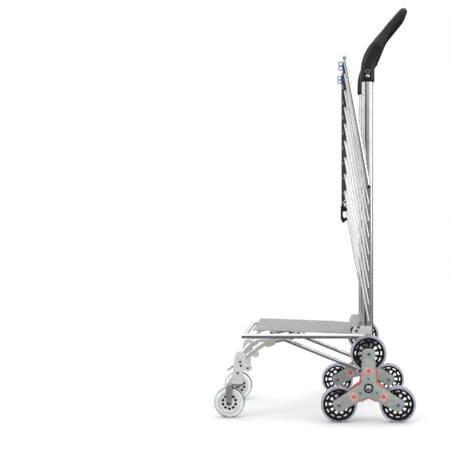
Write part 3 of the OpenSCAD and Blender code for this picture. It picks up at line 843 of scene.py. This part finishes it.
def add_cluster_frames():
    """Zinc-plated three-armed plates with a raised middle, the red spacer between them, pads and bolts."""
    for name, side in SIDES.items():
        hub = Vector((AXLE.x, centre(f"{name}_wheel_tyre_1").y, AXLE.z))
        plates = Piece(f"{name}_cluster_frame")
        outline = three_arms(19.0 * MM, 15.6 * MM, ARM + 13 * MM, 9.5 * MM, 7 * MM)
        inner = three_arms(15.6 * MM, 12.4 * MM, ARM + 9.6 * MM, 7.5 * MM, 8 * MM)
        holes = [circle(4.1 * MM, 24, polar(ARM, a)) for a in (0, 120, 240)] + [circle(6.1 * MM)]
        for face in (-1, 1):
            at = hub + Vector((0, face * (PLATE_GAP + PLATE_T / 2), 0))
            plates.add(plate([outline] + holes, PLATE_T, 0.9 * MM, 3), "zinc_plate", at)
            raised = at + Vector((0, face * PLATE_T / 2, 0))
            plates.add(plate([inner] + holes, 0.9 * MM, 0.35 * MM, 2), "zinc_plate", raised)
        plates.make(f"{name}_cluster", "zinc_plate", [f"{name}_cluster_plates"])

        spacer = Piece(f"{name}_cluster_red_spacer")
        lobes = three_arms(22.0 * MM, 18.6 * MM, 35 * MM, 6 * MM, 3 * MM)
        spacer.add(plate([lobes, circle(6.1 * MM)], 2 * PLATE_GAP - 0.1 * MM, 0.8 * MM), "red_plastic", hub)
        for a, out in [(a, out) for a in (0, 120, 240) for out in (-1, 1)]:
            face = hub + Vector((0, out * (PLATE_GAP + PLATE_T + 0.9 * MM), 0))
            x, z = polar(42 * MM, a)
            turn = Matrix.Rotation(math.radians(a), 4, "Y")
            pad = rounded_box(23 * MM, 18 * MM, 2.2 * MM)
            spacer.add(plate([pad], 1.0 * MM, 0.4 * MM), "pink_pad", face + Vector((x, 0, z)), turn)
            boss = filleted([(x * MM, z * MM, 1.5 * MM) for x, z in ((-6, -4), (0, 5.5), (6, -4))])
            lift = Vector((x, out * 0.6 * MM, z))
            spacer.add(plate([boss], 1.0 * MM, 0.4 * MM), "red_plastic", face + lift, turn)
        spacer.make(f"{name}_cluster", "red_plastic", [f"{name}_cluster_spacer"])

        bolts = Piece(f"{name}_cluster_fasteners")
        reach = PLATE_GAP + PLATE_T
        for a in (0, 120, 240):
            x, z = polar(ARM, a)
            for face in (-1, 1):
                foot = hub + Vector((x, face * reach, z))
                turn = outward(face)
                bolts.add(stud(6.4 * MM, 1.2 * MM, 0.0), "zinc_plate", foot, turn)
                bolts.add(stud(4.4 * MM, 2.2 * MM, 0.5), "fork_grey", foot, turn)
                # Black disc at the bottom of the head's socket: painted shade in the recess
                bolts.add(stud(2.0 * MM, 1.3 * MM), "black_bolt", foot, turn)
            bolts.add(stud(4.0 * MM, 2 * reach), "bolt_metal", hub + Vector((x, -reach, z)))
            x, z = polar(23 * MM, a)
            foot = hub + Vector((x, side * reach, z))
            bolts.add(stud(3.0 * MM, 1.9 * MM, 0.4), "bolt_metal", foot, outward(side))
        nut = hub + Vector((0, side * reach, 0))
        bolts.add(stud(11.5 * MM, 1.6 * MM), "black_bolt", nut, outward(side))
        bolts.add(turned_ring(6.0 * MM, 8.8 * MM, 3.2 * MM, 0.8 * MM, 6), "bolt_metal",
                  nut + Vector((0, side * 3.4 * MM, 0)))
        bolts.add(stud(7.0 * MM, 5.2 * MM, dome=2.2 * MM), "bolt_metal", nut, outward(side))
        bolts.make(f"{name}_cluster", "steel_bolt", [f"{name}_cluster_bolts"], angle=30)


add_cluster_frames()

# ---- Legs and braces ----

LEG_Y, BRACE_Y, STRUT_Y = 122 * MM, 98 * MM, 109.5 * MM
LINK = Vector((AXLE.x - 236 * MM, 0, DECK_Z - 20 * MM))
LEG_TOP = Vector((AXLE.x - 188 * MM, 0, DECK_Z - 4 * MM))
STRUT_END = Vector((AXLE.x - 349 * MM, 0, DECK_Z - 88 * MM))
BRACE_FOOT = Vector((AXLE.x - 17 * MM, 0, DECK_Z - 91 * MM))
BEND_X, BEND_R, LEG_LEVEL = AXLE.x - 256 * MM, 56 * MM, DECK_Z - 12 * MM
LEG_R, BRACE_R, BOSS_R, PIN_R = 5.5 * MM, 5 * MM, 8 * MM, 4.08 * MM


def capsule(a, b, radius, steps=12):
    """Outline of a bar with round ends from a to b, both (x, z)."""
    along = math.atan2(b[1] - a[1], b[0] - a[0])
    points = []
    for (x, z), start in ((b, along - math.pi / 2), (a, along + math.pi / 2)):
        angles = [start + math.pi * i / steps for i in range(steps + 1)]
        points += [(x + radius * math.cos(t), z + radius * math.sin(t)) for t in angles]
    return points


def pipe(start, end, radius, wall):
    """Straight tube with open ends."""
    length = (end - start).length
    ring = [(radius - wall, 0), (radius - 0.3 * MM, 0), (radius, 0.3 * MM), (radius, length - 0.3 * MM),
            (radius - 0.3 * MM, length), (radius - wall, length)]
    turn = Vector((0, 1, 0)).rotation_difference(end - start).to_matrix().to_4x4()
    return lathe(ring, 40, closed=True), turn


def add_legs_and_braces():
    """Bent leg tubes, the open-ended struts beside them with their pivot blocks, and the bent braces."""
    tubes, struts, braces = Piece("leg_bent_tubes"), Piece("leg_open_struts"), Piece("brace_bent_tubes")
    for side in SIDES.values():
        y = Vector((0, side * LEG_Y, 0))
        path = [LEG_TOP + y, Vector((LINK.x, 0, LEG_LEVEL)) + y]
        for a in range(90, 153, 4):
            t = math.radians(a)
            turn_z = LEG_LEVEL - BEND_R + BEND_R * math.sin(t)
            path.append(Vector((BEND_X + BEND_R * math.cos(t), 0, turn_z)) + y)
        tubes.add(sweep(path, [circle(LEG_R, 32)] * len(path), (0, 1, 0)), "leg_metal")
        tubes.add(turned_ring(PIN_R, BOSS_R, 6 * MM, 0.8 * MM, 48), "pale_block", LEG_TOP + y)

        y = Vector((0, side * STRUT_Y, 0))
        start = LINK + Vector((-11 * MM, 0, 2 * MM)) + y
        shape, turn = pipe(start, STRUT_END + y, 5 * MM, 1.2 * MM)
        struts.add(shape, "leg_metal", start, turn)
        block = capsule((0, 0), (-12 * MM, -4 * MM), BOSS_R)
        struts.add(plate([block], 11 * MM, 1.2 * MM), "pale_block", LINK + y)

        y = Vector((0, side * BRACE_Y, 0))
        foot = BRACE_FOOT + y
        knee = LINK + Vector((28 * MM, 0, 6 * MM)) + y
        path = arc_path([foot, knee, LINK + y], 18 * MM, 8)
        braces.add(sweep(path, [circle(BRACE_R, 32)] * len(path), (0, 1, 0)), "tube_metal")
        braces.add(turned_ring(PIN_R, BOSS_R, 5.8 * MM, 0.8 * MM, 48), "pale_block", foot)
    tubes.make("leg", "aluminium", ["leg_tubes"])
    struts.make("leg", "aluminium", ["leg_struts"])
    braces.make("brace", "aluminium", ["brace_tubes"])


add_legs_and_braces()

# ---- Castors ----


def add_castor_wheel(name):
    tyre_node = f"{name}_castor_tyre"
    low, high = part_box(tyre_node)
    hub = (low + high) / 2
    radius, width = (high.z - low.z) / 2, high.y - low.y
    core = Piece(f"{name}_castor_hub")
    rim = radius - 10 * MM
    holes = [window(16.2 * MM, 7.2 * MM, 6.6 * MM, 2.2 * MM, a) for a in range(0, 360, 36)]
    web = [circle(rim - 1 * MM, 96)] + holes + [circle(8 * MM)]
    core.add(plate(web, 9 * MM, 0.7 * MM), "castor_white", hub)
    # Thin black disc in the middle plane behind the windows: painted shade, so the windows look dark
    core.add(turned_ring(12 * MM, 22 * MM, 0.8 * MM, 0.2 * MM), "wheel_black", hub)
    core.add(turned_ring(rim - 3.4 * MM, rim, width / 2 - 3 * MM, 0.8 * MM), "castor_white", hub)
    core.add(turned_ring(3.2 * MM, 11 * MM, width / 2 - 1.6 * MM, 1.2 * MM), "castor_white", hub)
    core.make(f"{name}_castor_wheel", "castor_white", [f"{name}_castor_core"], origin=hub)
    tyre = Piece(f"{name}_castor_tread")
    profile = tyre_profile(radius, rim + 0.05 * MM, width, 6.5 * MM)
    tyre.add(lathe(profile, closed=True), "castor_clear", hub)
    tyre.add(lathe(tread_skin(radius, width, 6.5 * MM), closed=True), "castor_skin", hub)
    tyre.make(f"{name}_castor_wheel", "castor_clear", [tyre_node], origin=hub)
    return hub, width


def add_castor_fork(name, hub, width):
    """Pressed fork: a strap down each side, a crown plate with a bearing cup on it, and the axle bolt."""
    swivel_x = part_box(f"{name}_castor_fork")[1].x - 14 * MM
    crown_z = hub.z * 2 + 6.2 * MM
    gap = width / 2 + 2.2 * MM
    fork = Piece(f"{name}_castor_yoke")
    thick = 2.4 * MM
    strap = rounded_box(15 * MM, crown_z - hub.z + 7.5 * MM, 7 * MM, 8)
    for face in (-1, 1):
        at = Vector((hub.x, hub.y + face * gap, (crown_z + hub.z - 7.5 * MM) / 2))
        fork.add(plate([strap], thick, 0.6 * MM), "fork_grey", at)
    left, right = hub.x - 7.5 * MM, swivel_x + 13 * MM
    crown = rounded_box(right - left, 2 * gap + thick, 3 * MM)
    at = ((left + right) / 2, hub.y, crown_z - 1.3 * MM)
    fork.add(plate([crown], 2.6 * MM, 0.8 * MM), "fork_grey", at, UPRIGHT)
    top = Vector((swivel_x, hub.y, crown_z + thick / 2 - 1 * MM))
    cup = [(0, 0), (13.5, 0), (14.5, 1), (14.5, 2.2), (12, 3.0), (0, 3.0)]
    fork.add(lathe([(r * MM, y * MM) for r, y in cup], 48), "fork_grey", top, UPRIGHT)
    reach = gap + thick / 2
    for face in (-1, 1):
        foot = hub + Vector((0, face * reach, 0))
        turn = outward(face)
        fork.add(stud(5.6 * MM, 1.2 * MM), "bolt_metal", foot, turn)
        fork.add(stud(4.2 * MM, 3.0 * MM, 0.45), "bolt_metal", foot, turn)
    fork.add(stud(3.0 * MM, 2 * reach), "bolt_metal", hub - Vector((0, reach, 0)))
    fork.make(f"{name}_castor", "zinc_plate", [f"{name}_castor_fork"])


for side_name in SIDES:
    wheel_hub, wheel_width = add_castor_wheel(side_name)
    add_castor_fork(side_name, wheel_hub, wheel_width)
